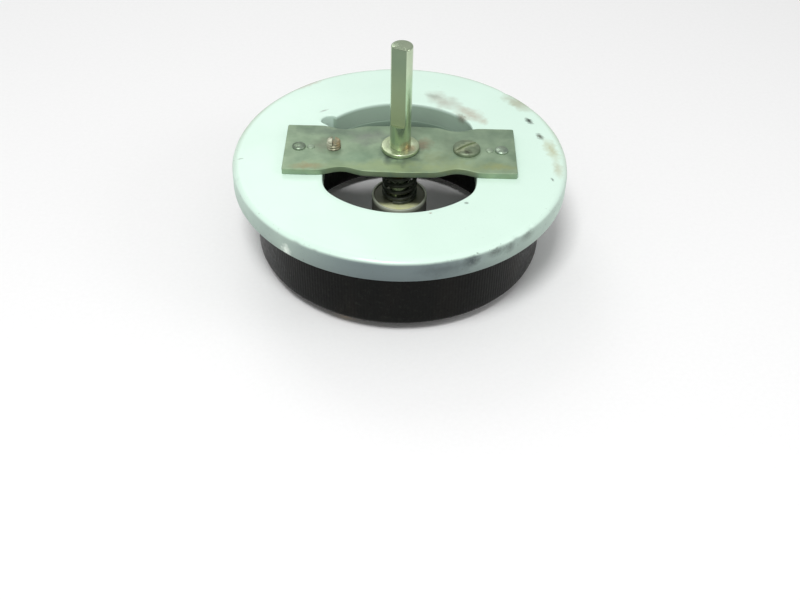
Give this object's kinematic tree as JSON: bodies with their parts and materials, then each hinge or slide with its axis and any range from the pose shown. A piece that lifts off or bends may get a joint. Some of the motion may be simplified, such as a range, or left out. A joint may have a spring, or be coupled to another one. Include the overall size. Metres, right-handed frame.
{
  "type": "wirewound rheostat",
  "caption": "Panel-mounting ring rheostat: ceramic base, enamelled wound core, crossbar, and a shaft whose arm sweeps a brush over the bare rear track.",
  "frame": {"origin": "on the shaft's axis in the front face of the mounting bar, midway between the two panel screws", "axes": "+Z along the shaft towards the knob's end, X along the mounting bar"},
  "size_m": [0.1524, 0.1524, 0.1046],
  "materials": {
    "glazed_white": "white glaze, a little stained",
    "core_ceramic": "bare fired ceramic",
    "resistance_wire": "bare nickel-chrome wire, polished by the brush",
    "enamel": "dark vitreous enamel",
    "bar_steel": "dull plated steel with stains",
    "rivet_steel": "plated steel",
    "stud_steel": "worn plated steel",
    "screw_steel": "dull plated steel",
    "bushing_brass": "turned brass",
    "strap_steel": "plain steel",
    "terminal_tin": "tinned strip",
    "shaft_steel": "plated steel, worn",
    "collar_zinc": "yellow zinc plate",
    "spring_steel": "dark spring steel",
    "seat_zinc": "bright yellow zinc plate",
    "hub_ceramic": "grey unglazed ceramic",
    "slip_brass": "turned brass",
    "arm_steel": "spring steel strip",
    "copper": "copper",
    "brush_graphite": "metal-graphite"
  },
  "bodies": {
    "stator": {"base_plate": "glazed_white", "core_ring": "core_ceramic", "resistance_winding": "resistance_wire", "enamel_coat": "enamel", "mounting_bar": "bar_steel", "bar_rivets": "rivet_steel", "locating_pins": "screw_steel", "slotted_stud": "stud_steel", "binding_head_screw": "screw_steel", "shaft_bushing": "bushing_brass", "stop_strap": "strap_steel", "end_terminal_left": "terminal_tin", "end_terminal_right": "terminal_tin", "centre_terminal": "terminal_tin", "terminal_screws": "rivet_steel", "terminal_nuts": "bushing_brass", "terminal_washers": "rivet_steel"},
    "rotor": {"shaft": "shaft_steel", "retaining_collar": "collar_zinc", "compression_spring": "spring_steel", "spring_seat": "seat_zinc", "hub": "hub_ceramic", "hub_pin": "rivet_steel", "slip_ring": "slip_brass", "contact_arm": "arm_steel", "arm_rivets": "copper", "brush_holder": "slip_brass", "contact_brush": "brush_graphite", "pigtail": "copper", "retaining_ring": "spring_steel"}
  },
  "joints": [
    {"name": "shaft_turn", "type": "hinge", "parent": "stator", "child": "rotor", "pos_m": [0, 0, 0], "axis": [0, 0, 1], "range_deg": [-138, 182]}
  ]
}
